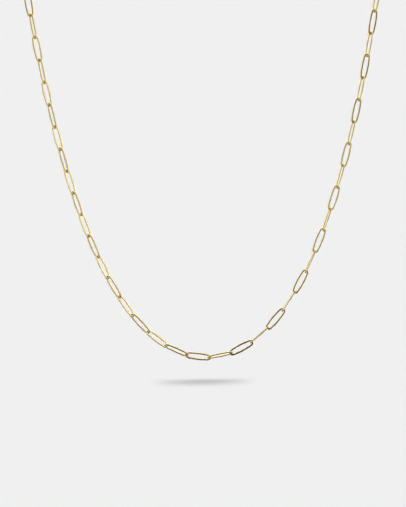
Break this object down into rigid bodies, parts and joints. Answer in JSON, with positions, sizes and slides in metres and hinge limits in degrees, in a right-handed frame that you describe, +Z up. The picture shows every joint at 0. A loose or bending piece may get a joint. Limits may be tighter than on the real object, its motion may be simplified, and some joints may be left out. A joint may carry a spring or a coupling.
{
  "type": "paperclip chain necklace",
  "caption": "Closed necklace of elongated oval wire links, in its worn form, with jump rings and a lobster clasp at the nape.",
  "frame": {"origin": "middle of the neck, midway between the two points where the chain leaves the sides of the neck", "axes": "+Z up, -Y to the front of the wearer, +X to the right as seen from the front"},
  "size_m": [0.1159, 0.0869, 0.1351],
  "materials": {
    "chain_gold": "polished yellow gold plating",
    "clasp_gold": "polished yellow gold plating"
  },
  "bodies": {
    "root": {"chain_left": "chain_gold", "chain_right": "chain_gold", "ring_left": "clasp_gold", "ring_right": "clasp_gold", "clasp": "clasp_gold"}
  },
  "joints": []
}
